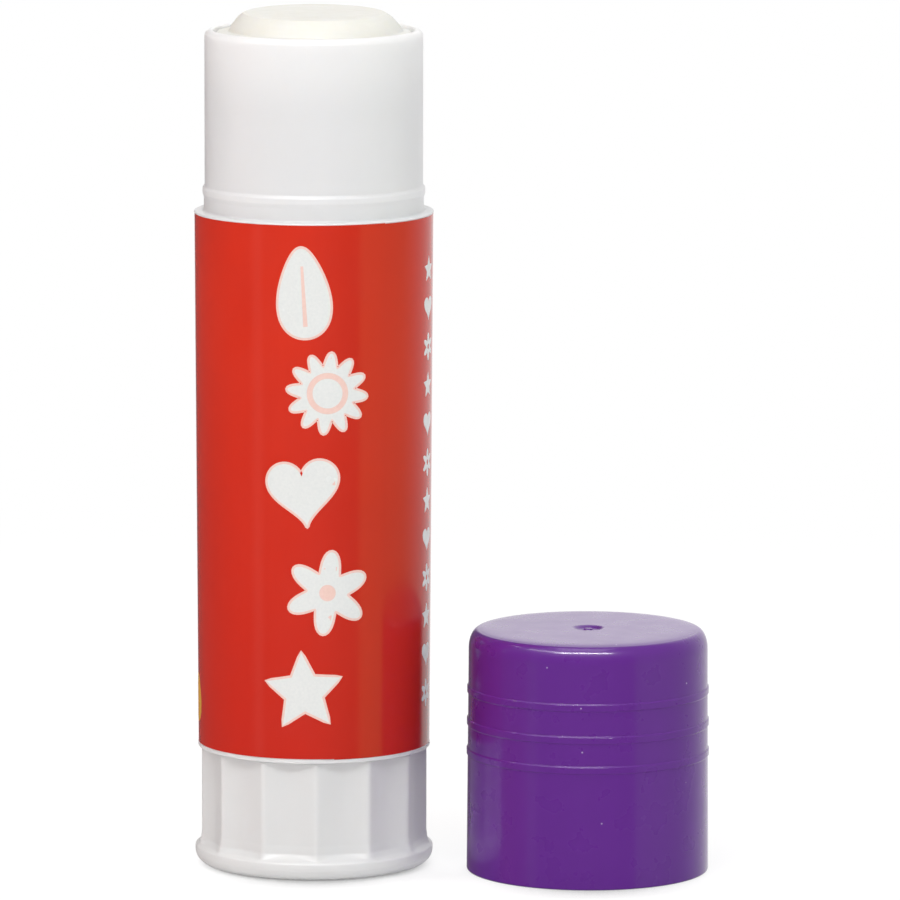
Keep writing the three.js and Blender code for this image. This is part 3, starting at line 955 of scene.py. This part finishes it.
base = turnedMesh("turning_base", knobCorners(), steps=knob["flutes"] * knob["stepsPerFlute"])
grown(base, fluteTree(), {
    "Count": knob["flutes"], "Depth": knob["depth"] * mm, "Turn": math.radians(knob["ridgeTurn"]),
    "Ridge": knob["ridgeRound"], "From": knob["flangeTop"] * mm, "Runout": knob["runout"] * mm,
    "Outside": knob["pullFrom"] * mm, "Plastic": shadedBasePlastic})
dressed(base, shadedBasePlastic, "knob", ["knob"])


# Glue

glue = {
    "bottom": 27.9,
    "step": 33.9,
    "cupRadius": 11.1,
    "radius": 12.35,
    "shoulder": 105.85,
    "headRadius": 10.87,
    "faceRadius": 8.92,
    "face": 108.45,
    "tilt": 0.025,      # slope of the face, down towards -Y
    "boreRadius": 3.6,
    "boreTop": 102.3,
    "nutRadius": 5.3,
    "nutTop": 33.9,
    "footAside": 0.28,  # the worn head stands this far towards +X at its foot
    "faceAside": 0.1,
    "waves": ((0.03, 3, 0.7), (0.02, 5, 2.1)),  # height, count and turn of the waves round the head
    "faceWave": (0.03, 2, 1.2),
    "evenWithin": 6,    # radius inside which they die out
}


def glueCorners():
    # up the outside from the spindle's bore, over the head, and closed inside at the bore's top
    g = SimpleNamespace(**glue)
    return [
        (0, g.boreTop),
        (g.boreRadius, g.boreTop, 0.3),
        (g.boreRadius, g.nutTop, 0.2),
        (g.nutRadius, g.nutTop, 0.2),
        (g.nutRadius, g.bottom, 0.1),
        (g.cupRadius, g.bottom, 0.3),
        (g.cupRadius, g.step, 0.2),
        (g.radius, g.step, 0.2),
        (g.radius, g.shoulder, 0.4),
        (g.headRadius + 0.1, g.shoulder + 0.1, 0.3),
        (g.headRadius - 0.1, g.shoulder + 0.55, 0.6),
        (g.headRadius - 0.5, g.face - 1.45, 1.0),
        (g.faceRadius + 0.75, g.face - 0.6, 0.9),
        (g.faceRadius, g.face, 0.35),
        (0, g.face + 0.03),
    ]


def waveAt(angle, height, count, turn):
    return height * math.sin(count * angle + turn)


def usedHead(radius, height, angle):
    # the head stands a little to one side, with the slight waves of glue that was wiped and has set again
    if height < glue["shoulder"] - 0.5 or radius > glue["headRadius"] + 0.6:
        return radius, height
    share = min(1, max(0, (height - glue["shoulder"]) / (glue["face"] - glue["shoulder"])))
    aside = glue["footAside"] + share * (glue["faceAside"] - glue["footAside"])
    wave = sum(waveAt(angle, *wave) for wave in glue["waves"])
    radius += (aside * math.sin(angle) + wave * share) * min(1, radius / glue["evenWithin"])
    if height > glue["face"] - 0.4:
        height += waveAt(angle, *glue["faceWave"]) * radius / glue["faceRadius"]
    height -= share * glue["tilt"] * (glue["faceRadius"] + radius * math.cos(angle))
    return radius, height


stick = turnedMesh("stick_of_glue", glueCorners(), shape=usedHead)
dressed(stick, glueWhite, "carrier", ["glue_stick"])


# Cap

cap = {
    "place": (34.54, -5.65),
    "height": 30.75,
    "footRadius": 15.3,
    "topRadius": 15.08,
    "edge": 30.68,      # where the top's edge begins to turn down
    "edgeAcross": 1.3,
    "edgeDown": 2.4,
    "dome": 30.84,      # the flat middle of the top, which falls off towards the edge
    "domePower": 20,
    "domeRound": 20,
    "domeRings": (0.985, 0.97, 0.955, 0.94, 0.925, 0.91, 0.89, 0.87, 0.84, 0.8, 0.74, 0.6, 0.4),
    "mouth": 14.10,
    "mouthTop": 4.15,
    "throat": 14.0,
    "throatFoot": 4.4,
    "ceiling": 29.65,
    "gripLip": 0.2,
    "grip": 1.275,
    "gripWidth": 0.9,
    "chamfer": 0.35,
    "bands": (15.2, 19.0, 23.1),
    "bandWidth": 1.05,
    "bandProud": 0.14,
    "bandFlank": 0.16,
    "plugOutside": 12.35,
    "plugInside": 11.65,
    "plugBottom": 21.0,
    "plugPoint": 0.35,
    "dimpleRadius": 2.0,
    "dimpleFlank": 0.8,
    "dimpleDepth": 0.36,
    "nubRadius": 0.6,
    "nubHeight": 0.32,
}


def capCorners():
    c = SimpleNamespace(**cap)

    def outside(height):
        return c.footRadius + (c.topRadius - c.footRadius) * height / c.height

    inner = [
        (0, c.ceiling),
        (c.plugInside, c.ceiling, 0.3),
        (c.plugInside, c.plugBottom + c.plugPoint, 0.2),
        ((c.plugInside + c.plugOutside) / 2, c.plugBottom, 0.15),
        (c.plugOutside, c.plugBottom + c.plugPoint, 0.2),
        (c.plugOutside, c.ceiling, 0.3),
        (c.throat - 0.15, c.ceiling, 0.5),
        (c.throat, c.throatFoot, 0.5),
        (c.mouth, c.mouthTop, 0.5),
        (c.mouth, c.grip + c.gripWidth / 2, 0.2),
        (c.mouth - c.gripLip, c.grip, 0.3),
        (c.mouth, c.grip - c.gripWidth / 2, 0.1),
        (c.mouth, c.chamfer, 0.1),
        (c.mouth + c.chamfer, 0, 0.12),
        (outside(0), 0, 0.25),
    ]
    bands = []
    for height in c.bands:
        half = c.bandWidth / 2
        bands += [
            (outside(height - half), height - half, 0.08),
            (outside(height) + c.bandProud, height - half + c.bandFlank, 0.1),
            (outside(height) + c.bandProud, height + half - c.bandFlank, 0.1),
            (outside(height + half), height + half, 0.08),
        ]
    top = easedEdge(outside(c.edge - c.edgeDown), c.edge, c.edgeAcross, c.edgeDown)
    flat, fall, pit = top[-1][0], c.dome - c.edge, c.dome - c.dimpleDepth
    top += [
        *((flat * s, c.dome - fall * s ** c.domePower, c.domeRound) for s in c.domeRings),
        (c.dimpleRadius, c.dome, 1.4),
        (c.dimpleRadius - c.dimpleFlank, pit, 0.9),
        (c.nubRadius, pit, 0.25),
        (c.nubRadius - 0.1, pit + c.nubHeight * 0.8, 0.3),
        (0, pit + c.nubHeight),
    ]
    return inner + bands + top


lid = turnedMesh("lid", capCorners(), place=cap["place"])
dressed(lid, purplePlastic, "cap", ["cap"])


# The screw and the carrier keep their solids and get the unpolished finish

for name in ("spindle", "carrier"):
    part = frame["nodes"][name]
    part.data.materials.clear()
    part.data.materials.append(innerPlastic)
print("frame nodes finished")


# Stage, light and camera

stage = {
    "floorSize": 6.0,        # metres
    "fadeFrom": 0.10,        # metres from the object over which the floor turns plain white
    "fadeTo": 0.30,
    "paper": (0.90, 0.90, 0.90, 1),
    "paperShade": (0.87, 0.87, 0.87, 1),
    "ownLight": 0.25,        # share of the paper's real light that the camera sees, with its soft shadow
    "lift": 0.84,            # the white that it sees besides
    "contactReach": 11.0,    # millimetres that the contact shadow runs out in front of a piece
    "contactSamples": 24,
    "contactBand": (0.5, 0.75),  # share of open rays over which it fades
    "contactPower": 0.35,
    "contactShade": 0.36,    # what is left of the white right at the contact
    "glow": 0.15,            # light that comes up through the paper
}


def paperFloor():
    # white paper with a faint soft shadow and a short dark contact shadow in front of what stands on it
    material = bpy.data.materials.new("floor paper")
    material.use_nodes = True
    tree = material.node_tree
    tree.nodes.remove(tree.nodes["Principled BSDF"])
    place = node(tree, "ShaderNodeTexCoord").outputs["Object"]
    fibres = noise(tree, place, 1.2, 3)
    paper = blend(tree, spread(tree, fibres, 0, 0.5), stage["paper"], stage["paperShade"])
    seen = node(tree, "ShaderNodeLightPath").outputs["Is Camera Ray"]
    share = less(tree, 1.0, times(tree, seen, 1 - stage["ownLight"]))
    paper = vectors(tree, "SCALE", {0: paper, "Scale": share})
    matte = node(tree, "ShaderNodeBsdfDiffuse", {"Color": paper})
    # rays towards +Y meet a piece only where the floor lies in front of it
    contact = node(tree, "ShaderNodeAmbientOcclusion", {
        "Distance": stage["contactReach"] * mm, "Normal": combined(tree, Y=1.0)},
        samples=stage["contactSamples"]).outputs["AO"]
    clear = ranged(tree, contact, stage["contactBand"])
    eased = sums(tree, "POWER", clear, stage["contactPower"])
    white = ranged(tree, eased, (0, 1), stage["contactShade"] * stage["lift"], stage["lift"])
    glow = times(tree, clear, stage["glow"])
    lift = node(tree, "ShaderNodeEmission", {"Strength": blend(tree, seen, glow, white)})
    near = node(tree, "ShaderNodeAddShader", {0: matte.outputs[0], 1: lift.outputs[0]})
    plain = node(tree, "ShaderNodeEmission", {"Strength": 1.0})
    distance = node(tree, "ShaderNodeVectorMath", {0: place}, operation="LENGTH").outputs["Value"]
    far = ranged(tree, distance, (stage["fadeFrom"], stage["fadeTo"]), easing="SMOOTHSTEP")
    mixed = node(tree, "ShaderNodeMixShader", {
        0: times(tree, far, seen), 1: near.outputs[0], 2: plain.outputs[0]})
    tree.links.new(mixed.outputs[0], tree.nodes["Material Output"].inputs["Surface"])
    return material


def makeFloor():
    bm = bmesh.new()
    bmesh.ops.create_grid(bm, x_segments=8, y_segments=8, size=stage["floorSize"] / 2)
    floor = meshObject("floor", bm)
    floor.data.materials.append(paperFloor())
    floor.visible_glossy = False  # the studio round the object is what its gloss shows


makeFloor()

# Azimuths run from the camera's side (0) towards +X; colours are what a glossy surface sees there
studio = {
    "ring": [
        (-180, (1.0, 1.0, 1.0)),
        (-175, (0.7, 0.7, 0.7)),
        (-170, (0.14, 0.12, 0.12)),
        (-100, (0.12, 0.09, 0.09)),
        (-90, (0.34, 0.075, 0.075)),
        (-66, (0.30, 0.07, 0.07)),
        (-59, (0.29, 0.29, 0.27)),
        (-54, (0.29, 0.29, 0.27)),
        (-51, (0.085, 0.085, 0.085)),
        (0, (0.12, 0.12, 0.12)),
        (42, (0.07, 0.07, 0.07)),
        (46, (0.29, 0.44, 0.20)),
        (95, (0.32, 0.44, 0.26)),
        (118, (0.55, 0.58, 0.55)),
        (140, (0.72, 0.72, 0.72)),
        (160, (0.85, 0.85, 0.85)),
        (180, (1.0, 1.0, 1.0)),
    ],
    "ringGain": 1.08,
    "over": (0.42, 0.42, 0.42, 1),
    "overBand": (0.3, 0.55),
    "behindRise": 0.7,                # the white backdrop stands high behind the object
    "under": (0.25, 0.25, 0.25, 1),
    "underBand": (-0.35, -0.6),
    "soft": (0.47, 0.47, 0.47, 1),    # the even light on matt surfaces
    "softLeft": (0.46, 0.34, 0.32, 1),
    "leftBand": (-0.2, -0.9),
    "softRight": (0.66, 0.66, 0.67, 1),
    "rightBand": (0.3, 0.9),
}


def studioWorld():
    world = bpy.data.worlds.new("studio")
    bpy.context.scene.world = world
    world.use_nodes = True
    tree = world.node_tree
    tree.nodes.clear()
    direction = node(tree, "ShaderNodeTexCoord").outputs["Generated"]
    x, y, z = split(tree, direction)
    azimuth = sums(tree, "ARCTAN2", x, times(tree, y, -1.0))
    ring = node(tree, "ShaderNodeValToRGB", {"Fac": ranged(tree, azimuth, (-math.pi, math.pi))})
    stops = ring.color_ramp.elements
    for i, (degrees, colour) in enumerate(studio["ring"]):
        position = (degrees + 180) / 360
        stop = stops[i] if i < 2 else stops.new(position)
        stop.position = position
        stop.color = (*colour, 1)
    ringSeen = vectors(tree, "SCALE", {0: ring.outputs["Color"], "Scale": studio["ringGain"]})
    behind = times(tree, sums(tree, "MAXIMUM", y, 0.0), studio["behindRise"])
    upper = ranged(tree, less(tree, z, behind), studio["overBand"])
    gloss = blend(tree, upper, ringSeen, studio["over"])
    gloss = blend(tree, ranged(tree, z, studio["underBand"]), gloss, studio["under"])
    even = blend(tree, ranged(tree, x, studio["leftBand"]), studio["soft"], studio["softLeft"])
    even = blend(tree, ranged(tree, x, studio["rightBand"]), even, studio["softRight"])
    path = node(tree, "ShaderNodeLightPath").outputs
    mirrored = sums(tree, "MAXIMUM", path["Is Glossy Ray"], path["Is Transmission Ray"])
    light = blend(tree, mirrored, even, gloss)
    whole = blend(tree, path["Is Camera Ray"], light, (1, 1, 1, 1))
    background = node(tree, "ShaderNodeBackground", {"Color": whole, "Strength": 1.0})
    node(tree, "ShaderNodeOutputWorld", {"Surface": background.outputs[0]})


studioWorld()

lampAim = (15, 0, 45)
lamps = {
    "front": {"azimuth": -7, "size": (1.0, 0.1), "watts": 5.0},
    "side": {"azimuth": -54, "size": (0.6, 0.1), "watts": 1.3},
    "overhead": {"azimuth": -14, "height": 80, "distance": 0.9, "size": (0.5, 0.5), "watts": 1.9},
    "frontStrip": {"azimuth": -4, "size": (0.8, 0.05), "watts": 7.0, "matt": False},
    "sideStrip": {"azimuth": -54, "size": (0.5, 0.05), "watts": 2.0, "matt": False},
}


def makeLamp(name, azimuth, size, watts, height=48, distance=1.1, matt=True):
    data = bpy.data.lights.new(name, "AREA")
    data.shape = "RECTANGLE"
    data.size, data.size_y = size
    data.energy = watts
    lamp = added(name, data)
    lamp.visible_diffuse = matt  # a strip is there for the gloss alone
    turn, rise = math.radians(azimuth), math.radians(height)
    away = Vector((math.sin(turn) * math.cos(rise), -math.cos(turn) * math.cos(rise), math.sin(rise)))
    lamp.location = Vector(lampAim) * mm + away * distance
    lamp.rotation_euler = away.to_track_quat("Z", "Y").to_euler()


for name, settings in lamps.items():
    makeLamp(name, **settings)

view = {
    "place": (-14.35, -1109.4, 213.6),
    "yaw": 0.02843,     # radians, towards +X
    "pitch": 0.14397,   # radians, down
    "roll": 0.0019,
    "lens": 354.7,
    "sensor": 36,
    "reach": 20,        # metres
}


def makeCamera():
    data = bpy.data.cameras.new("camera")
    data.lens = view["lens"]
    data.sensor_width = view["sensor"]
    data.clip_end = view["reach"]
    camera = added("camera", data)
    camera.location = Vector(view["place"]) * mm
    level = math.cos(view["pitch"])
    ahead = Vector((math.sin(view["yaw"]) * level, math.cos(view["yaw"]) * level, -math.sin(view["pitch"])))
    upright = ahead.to_track_quat("-Z", "Y")
    camera.rotation_euler = (upright @ Quaternion((0, 0, 1), view["roll"])).to_euler()
    bpy.context.scene.camera = camera


makeCamera()
bpy.context.scene.view_settings.view_transform = "Standard"
print("stage, light and camera set")
